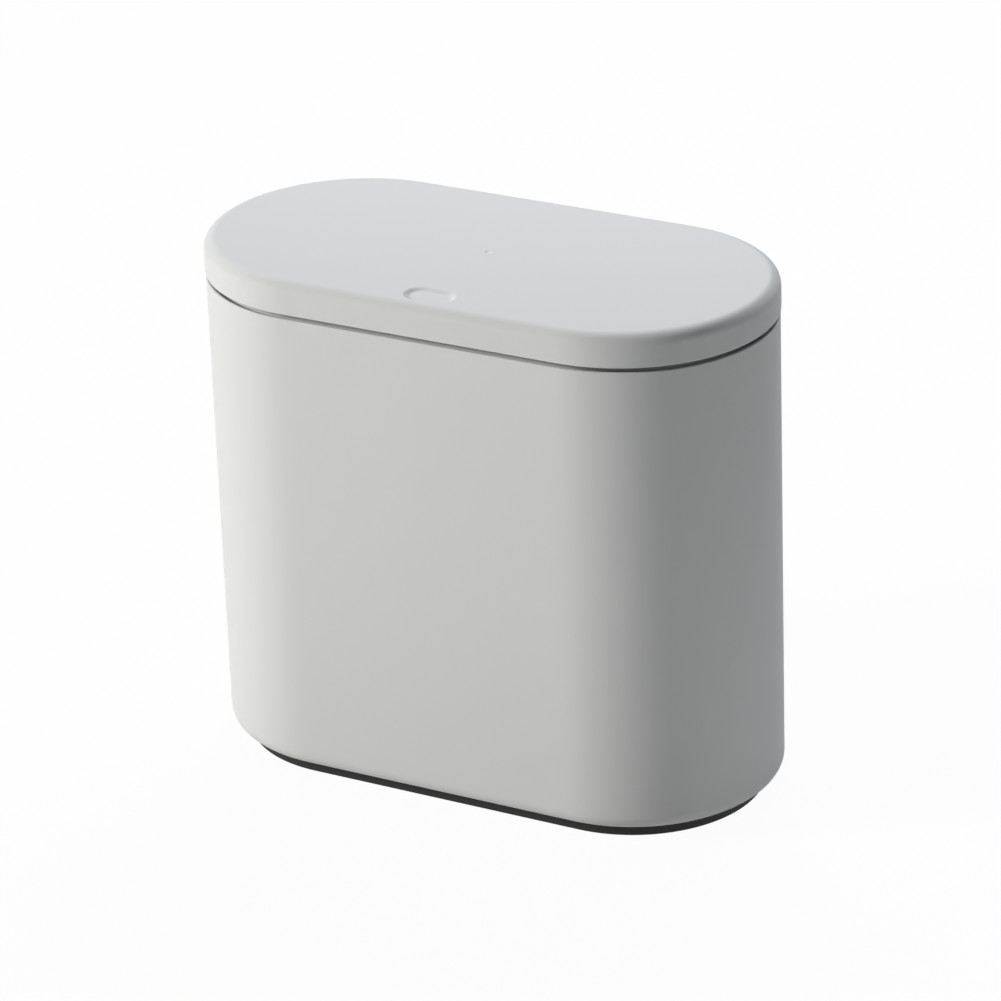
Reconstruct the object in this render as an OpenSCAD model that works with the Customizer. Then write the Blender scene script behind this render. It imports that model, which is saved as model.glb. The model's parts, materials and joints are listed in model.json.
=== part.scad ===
// Push top countertop bin: an oval outer body on a black base, a lift-out bucket,
// a lift-out top frame, and a lid that a push releases.
// The origin is on the table under the middle of the bin. X is its length, the front is -Y.

/* [Overall size] */
// Length of the lid from end to end
lid_length = 220; // [200:1:280]
// Depth of the lid from front to back
lid_depth = 110; // [92:1:125]
// Height from the table to the top of the lid
total_height = 200; // [150:1:280]

/* [Outer body] */
// How far the body stands in from the edge of the lid
body_setback = 0.3; // [0.1:0.1:0.6]
// Thickness of the body's wall
body_wall = 2; // [1.8:0.1:2.6]
// Thickness of the body's floor
body_floor = 2.4; // [1.6:0.1:4]
// Radius of the round edge at the foot of the body
foot_radius = 6; // [4:0.5:9]
// Depth of the rebate that seats the top frame
rebate_depth = 1; // [0.6:0.1:1.2]
// Height of the rebate
rebate_height = 4.6; // [4:0.2:7]
// Height of the bosses under the bucket, from the body's underside
boss_height = 7; // [6:0.5:12]
// Radius of those bosses
boss_radius = 4; // [3.5:0.1:6]

/* [Base] */
// Height of the black base that shows below the body
plinth_height = 4.7; // [4:0.1:8]
// How far the base stands in from the flat underside of the body
plinth_inset = 1; // [0.4:0.1:4]
// Width of the base's rim
plinth_rim = 2.4; // [1.6:0.1:4]
// Thickness of the base's web
plinth_web = 1.4; // [1:0.1:1.8]
// Radius of a foot pad
pad_radius = 6; // [4:0.5:8]
// Thickness of a foot pad
pad_thickness = 2; // [1.6:0.1:2.6]
// How far the pads stand out of the base
pad_proud = 0.8; // [0.4:0.1:1.4]
// Distance between the pads along the length
pad_spread = 124; // [90:1:140]
// Distance between the pads from front to back
pad_gauge = 40; // [30:1:46]
// Distance between the base screws along the length
base_screw_spread = 96; // [60:1:100]
// Distance between the base screws from front to back
base_screw_gauge = 40; // [30:1:46]

/* [Bucket and bag ring] */
// Room between the bucket and the body's wall
bucket_gap = 1.9; // [1.4:0.1:4]
// Thickness of the bucket's wall
bucket_wall = 1.6; // [1:0.1:2.4]
// Thickness of the bucket's floor
bucket_floor = 1.8; // [1:0.1:3]
// Radius of the bucket's lower edge
bucket_radius = 7; // [4:0.5:12]
// How far the bucket's rim lies below the frame's seat
bucket_drop = 17.5; // [17.5:0.5:40]
// Thickness of the bag ring's flange
ring_flange = 1.5; // [1:0.1:1.8]
// Thickness of the bag ring's skirt
ring_skirt = 0.9; // [0.7:0.1:1]
// Depth of the bag ring's skirt
ring_depth = 6.5; // [4:0.5:12]
// How far the bag ring reaches in over the bucket's mouth
ring_lip = 0.8; // [0.4:0.1:2]

/* [Top frame] */
// Thickness of the frame's flange
frame_flange = 2; // [1.6:0.1:2.4]
// Width of the frame's flange inside the body's wall
flange_width = 4.2; // [3.8:0.1:6]
// Thickness of the frame's skirt
frame_skirt = 1.6; // [1.2:0.1:2]
// Depth of the frame's skirt below its flange
skirt_depth = 8; // [4:0.5:12]
// Height of the frame's rim inside the lid
rim_height = 5.6; // [4:0.1:6]
// Thickness of that rim
rim_wall = 1.6; // [1:0.1:1.8]
// How far the rim stands in from the edge of the lid
rim_inset = 3.3; // [3.3:0.1:3.6]
// Width of the rear shelf under the hinge
rear_shelf_length = 116; // [110:1:118]
// Depth of the rear shelf inside the flange
rear_shelf_depth = 10; // [9:0.5:12]

/* [Lid] */
// Height of the lid
lid_height = 12.4; // [12.4:0.1:16]
// Radius of the lid's top edge
lid_round = 4.5; // [4:0.5:7]
// Thickness of the lid's wall
lid_wall = 2; // [1.6:0.1:2.2]
// Thickness of the lid's top
lid_top = 2.2; // [1.8:0.1:2.4]
// Dark gap between the lid and the body
seam_gap = 1.8; // [1.3:0.1:2]
// Length of the press mark
mark_length = 20; // [14:0.5:26]
// Width of the press mark
mark_width = 12; // [8:0.5:13]
// Depth of the press mark
mark_depth = 1; // [0.5:0.1:1.2]
// Distance of the press mark's middle from the lid's front edge
mark_setback = 11; // [11:0.5:20]
// Radius of the moulding mark in the middle of the lid
gate_radius = 1.3; // [0.8:0.1:2]
// Depth of the moulding mark
gate_depth = 0.3; // [0.2:0.1:0.6]

/* [Lid liner] */
// Thickness of the panel inside the lid
liner_thickness = 1.8; // [1.4:0.1:2.2]
// How far the panel lies above the lid's lower edge
liner_lift = 5.6; // [5.4:0.1:6]
// Room between the panel and the lid's wall
liner_gap = 0.9; // [0.5:0.1:1.5]
// Distance between the outer lid screws along the length
lid_screw_spread = 150; // [120:1:156]
// Distance between the lid screws from front to back
lid_screw_gauge = 48; // [30:1:52]

/* [Hinge] */
// Radius of the fixed barrel at the back
barrel_radius = 3.8; // [3.4:0.1:3.9]
// How far the barrel lies inside the lid's back edge
barrel_inset = 0.2; // [0.1:0.1:0.6]
// Height of the hinge axis above the lid's lower edge
axis_rise = 4; // [4:0.1:4.4]
// Radius of the hinge rod
rod_radius = 1.6; // [1.2:0.1:1.8]
// Length of the hinge rod
rod_length = 112; // [106:1:116]
// Radius of a lid knuckle
knuckle_radius = 3.5; // [3:0.1:3.6]
// Length of a lid knuckle
knuckle_length = 8; // [6:0.5:10]
// Distance between the two lid knuckles
knuckle_spread = 76; // [70:1:84]
// Distance between the two torsion springs
spring_spread = 40; // [34:1:48]
// Length of the window that holds a torsion spring
spring_window = 11; // [10:0.5:12]
// Radius of the torsion spring's wire
torsion_wire = 0.4; // [0.3:0.05:0.45]
// Turns in a torsion spring
torsion_turns = 5; // [4:1:6]
// Distance between the spine screws
spine_screw_spread = 100; // [96:1:102]
// Distance of the spine screws in front of the hinge axis
spine_screw_reach = 7; // [6.8:0.1:7.4]

/* [Latch] */
// Distance of the latch behind the lid's front edge
latch_setback = 12; // [11.6:0.1:14]
// Length of the latch housing
housing_length = 18; // [16:0.5:20]
// Depth of the latch housing
housing_depth = 13; // [12.6:0.1:13.4]
// Height of the latch housing below the frame
housing_height = 11.8; // [11.4:0.1:12.4]
// Thickness of the housing's wall
housing_wall = 2.4; // [1.8:0.1:2.6]
// Thickness of the latch's bottom cap
cap_thickness = 1.4; // [1:0.1:1.8]
// Radius of the plunger's stem
stem_radius = 3; // [2.6:0.1:3.4]
// Height of the block at the foot of the stem
block_height = 4.6; // [4:0.1:5]
// Radius of the magnet in the plunger's tip
magnet_radius = 2.2; // [1.6:0.1:2.2]
// Thickness of the magnet
magnet_thickness = 1.5; // [1:0.1:2]
// Thickness of the steel striker plate
striker_thickness = 1.4; // [1:0.1:1.6]
// Length of the striker plate
striker_length = 24; // [22:0.5:28]
// Depth of the striker plate
striker_depth = 10; // [8:0.5:11]
// Radius of the latch spring's wire
latch_wire = 0.3; // [0.2:0.05:0.35]
// Turns in the latch spring
latch_turns = 4; // [3:1:4]

/* [Fasteners and clearances] */
// Radius of the large screws
screw_radius = 1.5; // [1.2:0.1:1.6]
// Radius of the small screws
small_screw_radius = 1; // [0.8:0.1:1.2]
// Room around a screw in the part that it clamps
screw_slack = 0.3; // [0.2:0.1:0.4]
// Room around a screw in the boss that it holds in
thread_slack = 0.05; // [0.02:0.01:0.1]
// Running clearance of the hinge rod
rod_fit = 0.05; // [0.02:0.01:0.1]
// Clearance between parts that slide past each other
slide_fit = 0.3; // [0.2:0.05:0.35]

/* [Hidden] */
$fn = 96;
eps = 0.01;
// How far a cut runs past the face that it leaves
over = 1;

// Plan: an oval with round ends, its middle run straight
lid_r = lid_depth / 2;
run = lid_length / 2 - lid_r;
body_r = lid_r - body_setback;
body_in_r = body_r - body_wall;
rebate_r = body_in_r + rebate_depth;
flange_r = rebate_r - slide_fit;
flange_in_r = body_in_r - flange_width;
skirt_r = body_in_r - slide_fit;
rim_r = lid_r - rim_inset;
plinth_r = body_r - foot_radius - plinth_inset;
bucket_r = body_in_r - bucket_gap;
bucket_in_r = bucket_r - bucket_wall;
ring_fit = 0.2;
ring_in_skirt_r = bucket_r + ring_fit;
ring_r = ring_in_skirt_r + ring_skirt;
liner_r = lid_r - lid_wall - liner_gap;

// Levels
web_z = pad_proud + plinth_height - plinth_web;
body_z = pad_proud + plinth_height;
boss_top_z = body_z + boss_height;
lid_z = total_height - lid_height;
body_top_z = lid_z - seam_gap;
seat_z = body_top_z - rebate_height;
frame_z = seat_z + frame_flange;
rim_top_z = frame_z + rim_height;
bucket_top_z = seat_z - bucket_drop;
ring_top_z = bucket_top_z + ring_flange;
liner_z = lid_z + liner_lift;
liner_top_z = liner_z + liner_thickness;
lid_ceiling_z = total_height - lid_top;

// Hinge
axis_y = lid_r - barrel_inset - barrel_radius;
axis_z = lid_z + axis_rise;
cut_radius = barrel_radius + slide_fit;
spine_front_y = axis_y - barrel_radius;
spine_gap = 0.7;
lid_cut_y = spine_front_y - spine_gap;
liner_back_gap = 0.2;
foot_gap = 0.1;
foot_top_z = lid_z - foot_gap;
foot_reach = 9.7;
foot_front_y = axis_y - foot_reach;
foot_back_inset = 0.4;
foot_end_inset = 1;
spine_foot_half = rear_shelf_length / 2 - foot_end_inset;
spine_cut_depth = 2 * (lid_r - foot_front_y + over);
rod_play = 1;
knuckle_play = 1;
knuckle_root = 3;
spring_play = 2.4;
spring_slack = 0.5;
spring_radius = rod_radius + spring_slack + torsion_wire;
leg_overhang = 0.4;
spine_screw_y = axis_y - spine_screw_reach;
rim_end_y = 0.6 * lid_r;

// Latch
latch_y = latch_setback - lid_r;
housing_z = seat_z - housing_height;
shelf_overlap = 1;
shelf_length = 38;
shelf_back_y = latch_y + housing_depth / 2;
shelf_front_y = -flange_in_r - shelf_overlap;
latch_screw_x = 13.5;
ear_length = 34;
ear_thickness = 2;
ear_depth = 9;
housing_top = 1.5;
block_gap = 0.3;
block_top_z = seat_z - housing_top - block_gap;
block_z = block_top_z - block_height;
tip_rise = 1.6;
tip_z = lid_z + tip_rise;
striker_gap = 0.4;
striker_z = tip_z + striker_gap;
striker_top_z = striker_z + striker_thickness;
striker_screw_x = 8;
latch_spring_radius = 2.3;
latch_spring_gap = 0.05;
cap_boss_height = 1.6;
block_length = housing_length - 2 * housing_wall - 2 * block_gap;
block_depth = housing_depth - 2 * housing_wall - 2 * block_gap;
groove_width = 2;
groove_depth = 1.2;
pin_radius = 0.5;
pin_end_gap = 0.7;
pin_y = latch_y + (block_depth + block_gap - groove_depth) / 2;
magnet_proud = 0.2;
magnet_slack = 0.05;

// Fasteners
head_radius = 1.8 * screw_radius;
head_height = 1.5;
small_head_radius = 2 * small_screw_radius;
small_head_height = 1.1;
spine_head_radius = 1.6 * screw_radius;
screw_tip_gap = 0.4;
boss_roof = 1.2;
liner_boss_radius = 3;
lid_boss_roof = 0.3;
frame_boss_radius = 3;
frame_boss_roof = 1;
latch_boss_height = 3;
spine_boss_depth = 5;
striker_boss_roof = 0.4;
pad_boss_wall = 1.6;
pad_slack = 0.15;

pad_spots = [for (x = [-1, 1], y = [-1, 1]) [x * pad_spread / 2, y * pad_gauge / 2]];
base_screw_spots = [for (x = [-1, 1], y = [-1, 1]) [x * base_screw_spread / 2, y * base_screw_gauge / 2]];
lid_screw_spots = [for (x = [-1, 0, 1], y = [-1, 1]) [x * lid_screw_spread / 2, y * lid_screw_gauge / 2]];
bumper_angle = 40;
bumper_radius = 1.6;
bumper_margin = 0.2;
bumper_gap = 1.3;
bumper_reach = liner_r - bumper_radius - bumper_margin;
bumper_x = run + bumper_reach * cos(bumper_angle);
bumper_y = -bumper_reach * sin(bumper_angle);
bumper_spots = [for (x = [-1, 1]) [x * bumper_x, bumper_y]];
spine_screw_spots = [for (x = [-1, 1]) [x * spine_screw_spread / 2, spine_screw_y]];
latch_screw_spots = [for (x = [-1, 1]) [x * latch_screw_x, latch_y]];
striker_screw_spots = [for (x = [-1, 1]) [x * striker_screw_x, latch_y]];

// The bin's plan, r deep from its middle line
module oval(r, half_run = run) {
    for (side = [-1, 1])
        translate([side * half_run, 0])
            circle(r = r);
    square([2 * half_run, 2 * r], center = true);
}

module oval_slab(r, z0, z1) {
    translate([0, 0, z0])
        linear_extrude(z1 - z0)
            oval(r);
}

// Carries a half section, drawn outward in x and upward in y, once round the oval
module round_oval() {
    for (side = [-1, 1])
        translate([side * run, 0, 0])
            rotate([0, 0, -90 * side])
                rotate_extrude(angle = 180)
                    children();
    translate([-run, 0, 0])
        rotate([90, 0, 90])
            linear_extrude(2 * run) {
                children();
                mirror([1, 0])
                    children();
            }
}

// A block from r0 to r1 and z0 to z1 in a half section
module band(r0, r1, z0, z1) {
    translate([r0, z0])
        square([r1 - r0, z1 - z0]);
}

// A half section of a solid with a round lower edge
module dish(r, z0, z1, edge) {
    band(0, r, z0 + edge, z1);
    band(0, r - edge, z0, z1);
    translate([r - edge, z0 + edge])
        circle(r = edge);
}

// A half section of a solid with a round upper edge
module dome(r, z0, z1, edge) {
    band(0, r, z0, z1 - edge);
    band(0, r - edge, z0, z1);
    translate([r - edge, z1 - edge])
        circle(r = edge);
}

// A bar along X with the section that its children draw in y and z
module along_x(length) {
    translate([-length / 2, 0, 0])
        rotate([90, 0, 90])
            linear_extrude(length)
                children();
}

// A peg that points up, from z0 to z1
module peg(spot, r, z0, z1) {
    translate([spot[0], spot[1], z0])
        cylinder(r = r, h = z1 - z0);
}

// A block centred on x and y, from z0 to z1
module slab(spot, size, z0, z1) {
    translate([spot[0] - size[0] / 2, spot[1] - size[1] / 2, z0])
        cube([size[0], size[1], z1 - z0]);
}

// A pan head screw: its head lies from seat_z0 away from the shank, which ends at tip_z0
module screw(spot, shank_r, head_r, head_h, seat_z0, tip_z0) {
    up = tip_z0 > seat_z0 ? 1 : -1;
    low = min(seat_z0, tip_z0);
    peg(spot, shank_r, low, max(seat_z0, tip_z0));
    difference() {
        head_low = up > 0 ? seat_z0 - head_h : seat_z0;
        peg(spot, head_r, head_low, head_low + head_h);
        face = up > 0 ? head_low - eps : head_low + head_h * 0.55;
        for (turn = [0, 90])
            translate([spot[0], spot[1], face])
                rotate([0, 0, turn])
                    translate([-0.6 * head_r, -0.12 * head_r, 0])
                        cube([1.2 * head_r, 0.24 * head_r, head_h * 0.45 + eps]);
    }
}

function unit(v) = v / norm(v);

// Points of a coil about Z, of whole turns and a half, whose two legs point to -X
function coil_points(r, turns, height, leg) =
    let (steps = 8 * turns + 4)
    concat(
        leg > 0 ? [[-leg, -r, 0]] : [],
        [for (i = [0 : steps]) [r * sin(45 * i), -r * cos(45 * i), height * i / steps]],
        leg > 0 ? [[-leg, r, height]] : []
    );

// A tube of six sides on points, with its sides set by the Z axis
module tube(points, wire) {
    last = len(points) - 1;
    rings = [for (i = [0 : last])
        let (
            along = unit(points[min(i + 1, last)] - points[max(i - 1, 0)]),
            out = unit(cross(along, [0, 0, 1])),
            up = cross(out, along)
        )
        for (k = [0 : 5]) points[i] + wire * (cos(60 * k) * out + sin(60 * k) * up)
    ];
    sides = [for (i = [0 : last - 1], k = [0 : 5])
        let (a = 6 * i + k, b = 6 * i + (k + 1) % 6)
        each [[a, b, a + 6], [b, b + 6, a + 6]]
    ];
    ends = concat(
        [for (k = [1 : 4]) [0, k + 1, k]],
        [for (k = [1 : 4]) [6 * last, 6 * last + k, 6 * last + k + 1]]
    );
    polyhedron(points = rings, faces = concat(sides, ends));
}

// Least distance between turns, less the wire
function least_gap(points, wire) = min([
    for (i = [0 : len(points) - 1], j = [i + 5 : 1 : len(points) - 1]) norm(points[i] - points[j])
]) - 2 * wire;

torsion_length = spring_window - spring_play;
torsion_leg = barrel_radius + leg_overhang;
torsion_points = coil_points(spring_radius, torsion_turns, torsion_length, torsion_leg);
latch_spring_height = block_z - housing_z - 2 * (latch_spring_gap + latch_wire);
latch_spring_points = coil_points(latch_spring_radius, latch_turns, latch_spring_height, 0);
echo(torsion_spring_gap = least_gap(torsion_points, torsion_wire));
echo(latch_spring_gap = least_gap(latch_spring_points, latch_wire));

module outer_body() color("#cfd0cf") difference() {
    union() {
        round_oval()
            difference() {
                dish(body_r, body_z, body_top_z, foot_radius);
                dish(body_in_r, body_z + body_floor, body_top_z + over, foot_radius - body_wall);
                band(0, rebate_r, seat_z, body_top_z + over);
            }
        for (spot = base_screw_spots)
            peg(spot, boss_radius, body_z + body_floor / 2, boss_top_z);
    }
    for (spot = base_screw_spots)
        peg(spot, screw_radius + thread_slack, body_z - over, boss_top_z - boss_roof);
}

module base_plinth() color("#141414") difference() {
    oval_slab(plinth_r, pad_proud, body_z);
    translate([0, 0, pad_proud - over])
        linear_extrude(web_z - pad_proud + over)
            difference() {
                oval(plinth_r - plinth_rim);
                for (spot = pad_spots)
                    translate(spot)
                        circle(r = pad_radius + pad_boss_wall);
            }
    for (spot = pad_spots)
        peg(spot, pad_radius + pad_slack, pad_proud - over, pad_thickness);
    for (spot = base_screw_spots)
        peg(spot, screw_radius + screw_slack, pad_proud, body_z + over);
}

module foot_pads() color("#2b2b2b")
    for (spot = pad_spots)
        peg(spot, pad_radius, 0, pad_thickness);

module base_screws() color("#b9bcc0")
    for (spot = base_screw_spots)
        screw(spot, screw_radius, head_radius, head_height, web_z, boss_top_z - boss_roof - screw_tip_gap);

module inner_bucket() color("#dcdddc") round_oval()
    difference() {
        dish(bucket_r, boss_top_z, bucket_top_z, bucket_radius);
        dish(bucket_in_r, boss_top_z + bucket_floor, bucket_top_z + over, bucket_radius - bucket_wall);
    }

module bag_ring() color("#9b9d9e") round_oval() {
    band(bucket_in_r - ring_lip, ring_r, bucket_top_z, ring_top_z);
    band(ring_in_skirt_r, ring_r, bucket_top_z - ring_depth, ring_top_z);
}

module top_frame() color("#8f9192") difference() {
    union() {
        round_oval() {
            band(flange_in_r, flange_r, seat_z, frame_z);
            band(skirt_r - frame_skirt, skirt_r, seat_z - skirt_depth, frame_z);
        }
        difference() {
            round_oval()
                band(rim_r - rim_wall, rim_r, frame_z - frame_flange / 2, rim_top_z);
            slab([0, rim_end_y + lid_r], [2 * lid_length, 2 * lid_r], seat_z, rim_top_z + over);
        }
        rear_shelf_y = flange_in_r + shelf_overlap - rear_shelf_depth / 2;
        slab([0, rear_shelf_y], [rear_shelf_length, rear_shelf_depth], seat_z, frame_z);
        shelf_y = (shelf_front_y + shelf_back_y) / 2;
        slab([0, shelf_y], [shelf_length, shelf_back_y - shelf_front_y], seat_z, frame_z);
        for (spot = latch_screw_spots)
            peg(spot, frame_boss_radius, seat_z, frame_z + latch_boss_height);
        for (spot = spine_screw_spots)
            peg(spot, frame_boss_radius, seat_z - spine_boss_depth, frame_z);
    }
    peg([0, latch_y], stem_radius + slide_fit, seat_z - over, frame_z + over);
    latch_hole_z = frame_z + latch_boss_height - frame_boss_roof;
    for (spot = latch_screw_spots)
        peg(spot, small_screw_radius + thread_slack, seat_z - over, latch_hole_z);
    spine_hole_z = seat_z - spine_boss_depth + frame_boss_roof;
    for (spot = spine_screw_spots)
        peg(spot, screw_radius + thread_slack, spine_hole_z, frame_z + over);
}

module hinge_spine() color("#cfd0cf") difference() {
    intersection() {
        oval_slab(lid_r, seat_z, total_height);
        along_x(lid_length) {
            translate([axis_y, axis_z])
                circle(r = barrel_radius);
            band(spine_front_y, axis_y, foot_top_z - over, axis_z);
            band(foot_front_y, axis_y - foot_back_inset, frame_z, foot_top_z);
        }
    }
    // The foot ends inside the frame's flange
    for (x = [-1, 1]) {
        end = [x * (lid_length / 2 + spine_foot_half), lid_r];
        slab(end, [lid_length, spine_cut_depth], seat_z, lid_z + foot_gap);
        knuckle = [x * knuckle_spread / 2, lid_r];
        slab(knuckle, [knuckle_length + knuckle_play, spine_cut_depth], foot_top_z, total_height);
        spring = [x * spring_spread / 2, lid_r];
        slab(spring, [spring_window, spine_cut_depth], foot_top_z, total_height);
    }
    translate([-rod_length / 2 - rod_play, axis_y, axis_z])
        rotate([0, 90, 0])
            cylinder(r = rod_radius + rod_fit, h = lid_length);
    for (spot = spine_screw_spots)
        peg(spot, screw_radius + screw_slack, seat_z, foot_top_z + over);
}

module spine_screws() color("#b9bcc0")
    for (spot = spine_screw_spots)
        screw(spot, screw_radius, spine_head_radius, head_height,
            foot_top_z, seat_z - spine_boss_depth + frame_boss_roof + screw_tip_gap);

module hinge_rod() color("#c9ccd0")
    translate([-rod_length / 2, axis_y, axis_z])
        rotate([0, 90, 0])
            cylinder(r = rod_radius, h = rod_length);

module torsion_spring(side) color("#aeb2b6")
    translate([side * spring_spread / 2 - torsion_length / 2, axis_y, axis_z])
        rotate([90, 0, 90])
            tube(torsion_points, torsion_wire);

module torsion_spring_left() torsion_spring(-1);

module torsion_spring_right() torsion_spring(1);

module lid_cover() color("#d6d8dc") difference() {
    union() {
        round_oval()
            difference() {
                dome(lid_r, lid_z, total_height, lid_round);
                dome(lid_r - lid_wall, lid_z - over, lid_ceiling_z, lid_round - lid_wall);
            }
        for (spot = lid_screw_spots)
            peg(spot, liner_boss_radius, liner_top_z, lid_ceiling_z + lid_top / 4);
    }
    for (spot = lid_screw_spots)
        peg(spot, small_screw_radius + thread_slack, liner_top_z - over, lid_ceiling_z - lid_boss_roof);
    slab([0, lid_cut_y + lid_r], [2 * lid_length, 2 * lid_r], lid_z - over, axis_z);
    along_x(2 * lid_length)
        translate([axis_y, axis_z])
            circle(r = cut_radius);
    translate([0, mark_setback - lid_r, total_height - mark_depth])
        linear_extrude(mark_depth + over)
            oval(mark_width / 2, (mark_length - mark_width) / 2);
    peg([0, 0], gate_radius, total_height - gate_depth, total_height + over);
}

module lid_liner() color("#c4c6c8") difference() {
    union() {
        difference() {
            oval_slab(liner_r, liner_z, liner_top_z);
            back_y = lid_cut_y - liner_back_gap + lid_r;
            slab([0, back_y], [2 * lid_length, 2 * lid_r], liner_z - over, liner_top_z + over);
        }
        slab([0, latch_y], [striker_length, striker_depth], striker_top_z, liner_top_z);
        for (x = [-1, 1])
            translate([x * knuckle_spread / 2, 0, 0])
                along_x(knuckle_length) {
                    translate([axis_y, axis_z])
                        circle(r = knuckle_radius);
                    band(lid_cut_y - knuckle_root, axis_y, axis_z, liner_top_z);
                }
    }
    for (spot = lid_screw_spots)
        peg(spot, small_screw_radius + screw_slack, liner_z - over, liner_top_z + over);
    for (spot = striker_screw_spots)
        peg(spot, small_screw_radius + thread_slack,
            striker_top_z - over, liner_top_z - striker_boss_roof);
    along_x(lid_length)
        translate([axis_y, axis_z])
            circle(r = rod_radius + rod_fit);
}

module lid_screws() color("#b9bcc0")
    for (spot = lid_screw_spots)
        screw(spot, small_screw_radius, small_head_radius, small_head_height,
            liner_z, lid_ceiling_z - lid_boss_roof - screw_tip_gap);

module lid_bumpers() color("#3a3a3a")
    for (spot = bumper_spots)
        peg(spot, bumper_radius, rim_top_z + bumper_gap, liner_z);

module striker_plate() color("#b4b8bc") difference() {
    slab([0, latch_y], [striker_length, striker_depth], striker_z, striker_top_z);
    for (spot = striker_screw_spots)
        peg(spot, small_screw_radius + screw_slack, striker_z - over, striker_top_z + over);
}

module striker_screws() color("#b9bcc0")
    for (spot = striker_screw_spots)
        screw(spot, small_screw_radius, small_head_radius, small_head_height,
            striker_z, liner_top_z - striker_boss_roof - screw_tip_gap);

module latch_housing() color("#3c3e40") difference() {
    union() {
        slab([0, latch_y], [housing_length, housing_depth], housing_z, seat_z);
        slab([0, latch_y], [ear_length, ear_depth], seat_z - ear_thickness, seat_z);
    }
    room = [housing_length - 2 * housing_wall, housing_depth - 2 * housing_wall];
    slab([0, latch_y], room, housing_z - over, seat_z - housing_top);
    peg([0, latch_y], stem_radius + slide_fit, seat_z - housing_top - over, seat_z + over);
    for (spot = latch_screw_spots)
        peg(spot, small_screw_radius + screw_slack, seat_z - ear_thickness - over, seat_z + over);
}

module latch_cap() color("#3c3e40") {
    slab([0, latch_y], [housing_length, housing_depth], housing_z - cap_thickness, housing_z);
    boss_r = latch_spring_radius - latch_wire - slide_fit;
    peg([0, latch_y], boss_r, housing_z - cap_thickness, housing_z + cap_boss_height);
}

module latch_plunger() color("#e8e8e6") difference() {
    union() {
        peg([0, latch_y], stem_radius, block_z, tip_z - magnet_proud);
        slab([0, latch_y], [block_length, block_depth], block_z, block_top_z);
    }
    // Track for the cam pin
    groove = [groove_width, 2 * groove_depth];
    slab([0, latch_y + block_depth / 2], groove, block_z - over, block_top_z + over);
    peg([0, latch_y], magnet_radius + magnet_slack, tip_z - magnet_thickness, tip_z + over);
}

module latch_magnet() color("#6f7378")
    peg([0, latch_y], magnet_radius, tip_z - magnet_thickness, tip_z);

module latch_spring() color("#aeb2b6")
    translate([0, latch_y, housing_z + latch_spring_gap + latch_wire])
        tube(latch_spring_points, latch_wire);

module latch_cam_pin() color("#c9ccd0")
    peg([0, pin_y], pin_radius, housing_z, seat_z - housing_top - pin_end_gap);

module latch_screws() color("#b9bcc0")
    for (spot = latch_screw_spots)
        screw(spot, small_screw_radius, small_head_radius, small_head_height,
            seat_z - ear_thickness, frame_z + latch_boss_height - frame_boss_roof - screw_tip_gap);

outer_body();
base_plinth();
foot_pads();
base_screws();
inner_bucket();
bag_ring();
top_frame();
hinge_spine();
spine_screws();
hinge_rod();
torsion_spring_left();
torsion_spring_right();
lid_cover();
lid_liner();
lid_screws();
lid_bumpers();
striker_plate();
striker_screws();
latch_housing();
latch_cap();
latch_plunger();
latch_magnet();
latch_spring();
latch_cam_pin();
latch_screws();
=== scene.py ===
"""Looks of a slim oval push top countertop bin: its shells, springs, finishes and stage."""

import json
import math

import bmesh
import bpy
from bpy.props import FloatProperty, FloatVectorProperty, IntProperty, PointerProperty
from mathutils import Matrix, Vector


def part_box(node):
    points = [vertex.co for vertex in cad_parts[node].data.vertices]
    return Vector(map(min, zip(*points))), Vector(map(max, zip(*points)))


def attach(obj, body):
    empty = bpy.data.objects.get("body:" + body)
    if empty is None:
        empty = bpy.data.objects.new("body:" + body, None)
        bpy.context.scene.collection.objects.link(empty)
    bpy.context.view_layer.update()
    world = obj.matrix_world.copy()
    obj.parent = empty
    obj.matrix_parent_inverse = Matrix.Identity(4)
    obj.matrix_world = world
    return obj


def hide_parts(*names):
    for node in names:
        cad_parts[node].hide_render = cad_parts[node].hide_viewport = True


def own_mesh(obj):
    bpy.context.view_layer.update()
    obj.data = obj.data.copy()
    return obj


bl_info = {
    "name": "Push Top Bin",
    "version": (1, 0, 0),
    "blender": (4, 5, 0),
    "location": "View3D > Sidebar > Bin",
    "description": "Dresses an oval push top countertop bin over its loaded frame",
    "category": "Object",
}

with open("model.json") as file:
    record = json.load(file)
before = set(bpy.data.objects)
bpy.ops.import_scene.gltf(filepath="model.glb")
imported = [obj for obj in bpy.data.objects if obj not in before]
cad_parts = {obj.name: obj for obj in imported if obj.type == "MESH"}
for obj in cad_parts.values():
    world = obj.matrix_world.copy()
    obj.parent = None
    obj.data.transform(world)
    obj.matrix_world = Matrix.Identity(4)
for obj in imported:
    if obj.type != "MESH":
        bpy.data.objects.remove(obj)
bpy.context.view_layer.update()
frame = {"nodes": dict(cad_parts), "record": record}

NODES = frame["nodes"]
MM = 0.001
LID_LOW, LID_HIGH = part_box("lid_cover")
BODY_LOW, BODY_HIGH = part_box("outer_body")
BUCKET_LOW, BUCKET_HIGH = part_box("inner_bucket")
RING_LOW, RING_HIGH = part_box("bag_ring")
ROD_LOW, ROD_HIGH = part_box("hinge_rod")
AXIS_Y = (ROD_LOW.y + ROD_HIGH.y) / 2.0
AXIS_Z = (ROD_LOW.z + ROD_HIGH.z) / 2.0

# Mesh steps and the small rounds on rims
FINE_STEP = 0.25 * MM
LID_STEP = 2.0 * MM
SHELL_STEP = 4.0 * MM
ARC_STEP = 0.4 * MM
TURN_STEPS = 40
TINY = 1e-6
RIM_ROUND = 0.35 * MM
INNER_ROUND = 0.25 * MM
BUCKET_ROUND = 0.3 * MM
MARK_EASE = 0.15 * MM
SHARP_ANGLE = math.radians(32.0)

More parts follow.
